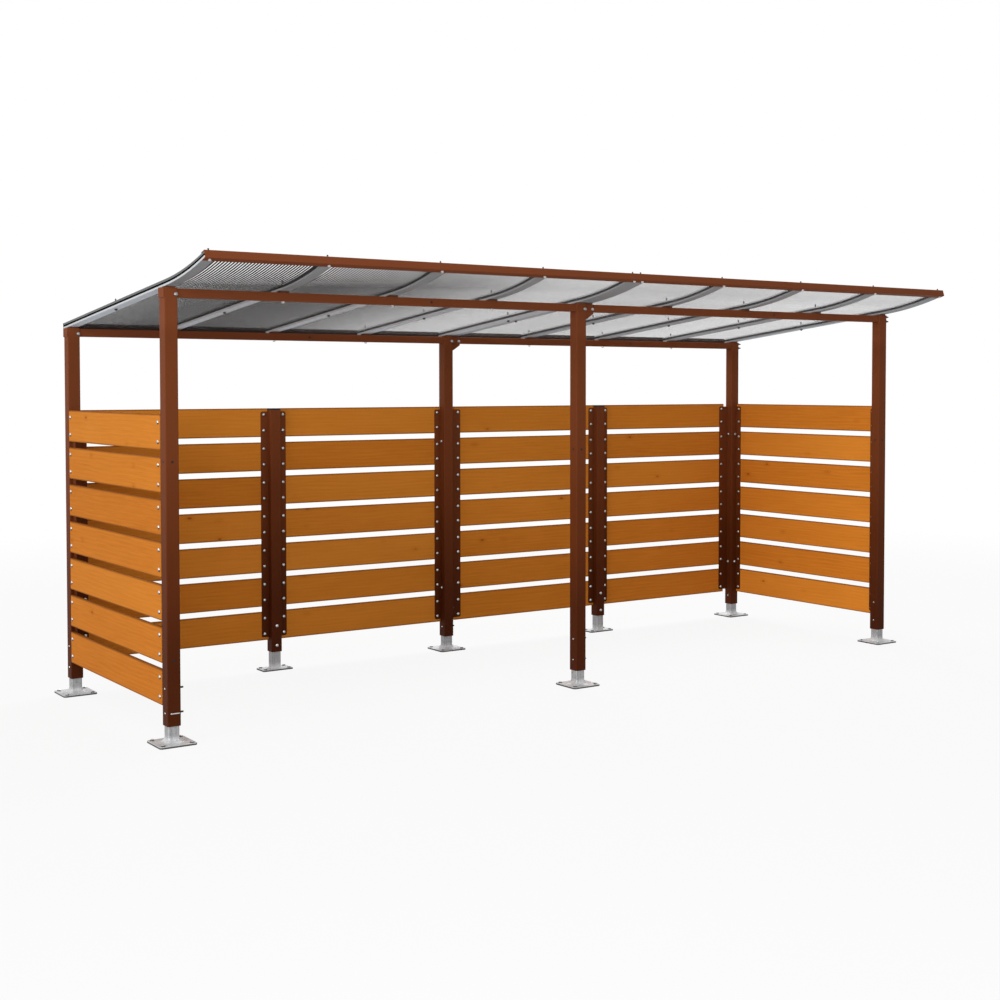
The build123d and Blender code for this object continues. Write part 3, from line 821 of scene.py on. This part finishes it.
# Roof bolts. Long bolts pass through cover, sheet joint and rafter, at mid span and into the beams
# and the front channel. A thin dark rod end stands on each cover. Underneath shows a dark domed
# nut at mid span and a bright one below beam and channel, painted bright though it faces down, as painted
# light.
COVER_TOP = 0.0326
PIN = [(0.0040, 0.0), (0.0040, 0.0210), (0.0030, 0.0220)]
CAP_NUT = [(0.0080, 0.0), (0.0085, 0.0010), (0.0085, 0.0050), (0.0062, 0.0085), (0.0022, 0.0100)]
above = np.array([0.0, math.sin(SLOPE), math.cos(SLOPE)])


def on_roof(behind, layer):
    """Places over all rafters, at a distance behind the front posts and a layer's height."""
    y = front_y + behind
    z = SEAT - behind * math.tan(SLOPE)
    return np.column_stack([rafter_x, np.full(len(rafter_x), y), np.full(len(rafter_x), z)]) + layer * above


MID_SPAN = 0.752
NEAR_POST = 0.07
from_posts = np.abs(rafter_x[:, None] - np.array(list(post_x.values()))[None])
between_posts = np.min(from_posts, axis=1) > NEAR_POST
beam_pins = [on_roof(row, COVER_TOP)[between_posts] for row in (0.0, ROW_SPACING)]
pins = np.concatenate([on_roof(MID_SPAN, COVER_TOP), *beam_pins])
mid_nuts = on_roof(MID_SPAN, 0.0)
under_beams = []
for row, row_y in (("front", front_y), ("back", back_y)):
    beam_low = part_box("beam_" + row + "_left")[0][2]
    spots = rafter_x[between_posts]
    under_beams.append(np.column_stack([spots, np.full(len(spots), row_y), np.full(len(spots), beam_low)]))
under_beams = np.concatenate(under_beams)

# Underside of the front channel, below the bolt ends that stand on it
CHANNEL_HEIGHT = 0.0402
CHANNEL_GRIP = 0.0362
BOLT_RISE = 0.014
channel_slope = END_SLOPE - CHANNEL_GRIP / 2 / (CURVE_RADIUS - COVER_TOP / 2)
over = np.array([0.0, math.sin(channel_slope), math.cos(channel_slope)])
channel_low = middle("fascia_bolts") - over * (BOLT_RISE / 2 + SEAT_GAP + CHANNEL_HEIGHT)
channel_heads = np.column_stack([rafter_x, np.tile(channel_low[1:], (len(rafter_x), 1))])
dress(["fascia_bolts"], blackened)
# The caps below beam and channel are painted bright facing down, as painted light.
roof_bolts = join("roof_bolts", [
    spread(PIN, ROD_SIDES, pins, above, 1),
    spread(CAP_NUT, HEAD_SIDES, mid_nuts, -above, 1),
    spread(CAP_NUT, HEAD_SIDES, under_beams, (0.0, 0.0, -1.0), 0),
    spread(CAP_NUT, HEAD_SIDES, channel_heads, -over, 0),
], [polished("bright_cap", (0.55, 0.55, 0.55, 1), (0.50, 0.50, 0.50, 1)), blackened])
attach(roof_bolts, "root")


# Studio. A pale floor and a white surround, with soft lamps at the left, in front and above.
# None of it belongs to the shelter.
FLOOR_HALF = 40.0


def seen_by(finish):
    """Three wires that are one for rays from the camera, from gloss and through clear things."""
    kinds = ("Is Camera Ray", "Is Glossy Ray", "Is Transmission Ray")
    return [finish.node("ShaderNodeLightPath", {}, {}, kind) for kind in kinds]


SHADE_NEAR, SHADE_FAR = 4.0, 11.0


def floor_finish():
    """Pale matt floor that the camera sees as almost white, with the shelter's soft shadow near it.

    Far from the shelter it goes over to the white of the surround.
    """
    pale = material("studio_floor")
    pale.surface({"Base Color": (0.60, 0.60, 0.60, 1), "Roughness": 0.9, "Specular IOR Level": 0.0})
    reach = pale.node("ShaderNodeVectorMath", {"operation": "LENGTH"}, {0: pale.place()}, "Value")
    camera_ray, glossy_ray, clear_ray = seen_by(pale)
    share = camera_ray + glossy_ray + clear_ray
    white = pale.node("ShaderNodeEmission", {}, {"Color": (1, 1, 1, 1), "Strength": 1.0})
    level = 0.90 + 0.10 * pale.between(reach, SHADE_NEAR, SHADE_FAR)
    return pale.blend(share * level, Wire(pale, pale.shader.outputs[0]), white)


floor_corners = np.array([[-1, -1], [1, -1], [1, 1], [-1, 1]]) * FLOOR_HALF
floor_mesh = bpy.data.meshes.new("studio_floor")
floor_mesh.from_pydata(np.column_stack([floor_corners, np.zeros(4)]).tolist(), [], [[0, 1, 2, 3]])
floor_mesh.materials.append(floor_finish())
floor = bpy.data.objects.new("studio_floor", floor_mesh)
bpy.context.scene.collection.objects.link(floor)


def lamp(name, place, target, size, power):
    """A square soft lamp that looks from its place towards a target."""
    data = bpy.data.lights.new(name, "AREA")
    data.size = size
    data.energy = power
    light = bpy.data.objects.new(name, data)
    sight = np.array(target, float) - place
    flat = math.hypot(sight[0], sight[1])
    light.location = place
    light.rotation_euler = (math.pi / 2 + math.atan2(sight[2], flat), 0.0, math.atan2(-sight[0], sight[1]))
    bpy.context.scene.collection.objects.link(light)


lamp("left_lamp", (-25.0, -8.5, 6.0), (0.0, 0.2, 1.2), 10.0, 3600.0)
lamp("front_lamp", (-4.5, -6.0, 3.0), (-1.0, 0.2, 1.2), 2.5, 120.0)
lamp("roof_lamp", (2.5, 3.0, 5.5), (0.5, 0.1, 2.3), 3.0, 250.0)

world = bpy.data.worlds.new("studio")
bpy.context.scene.world = world
surround = Finish(world)
even = surround.node("ShaderNodeBackground", {}, {"Color": (1, 1, 1, 1), "Strength": 0.55})
plain = surround.node("ShaderNodeBackground", {}, {"Color": (1, 1, 1, 1), "Strength": 1.0})
camera_ray, glossy_ray, clear_ray = seen_by(surround)
surround.blend(camera_ray + glossy_ray + clear_ray, even, plain)
bpy.context.scene.view_settings.view_transform = "Standard"


# Camera. It stands in front of the left end at eye height, turned to the right, as the
# photograph was taken. The shift keeps the photograph's framing.
EYE = (-5.3685, -7.6528, 1.8009)
TURN_RIGHT = 0.61192
LOOK_DOWN = 0.03469
SENSOR = 36.0
PICTURE = 1000.0
FOCAL = 1490.435
SIGHT_X, SIGHT_Y = 532.576, 436.691
camera_data = bpy.data.cameras.new("eye")
camera_data.sensor_width = SENSOR
camera_data.lens = SENSOR * FOCAL / PICTURE
camera_data.shift_x = (PICTURE / 2 - SIGHT_X) / PICTURE
camera_data.shift_y = (SIGHT_Y - PICTURE / 2) / PICTURE
camera = bpy.data.objects.new("eye", camera_data)
camera.location = EYE
camera.rotation_euler = (math.pi / 2 - LOOK_DOWN, 0.0, -TURN_RIGHT)
bpy.context.scene.collection.objects.link(camera)
bpy.context.scene.camera = camera
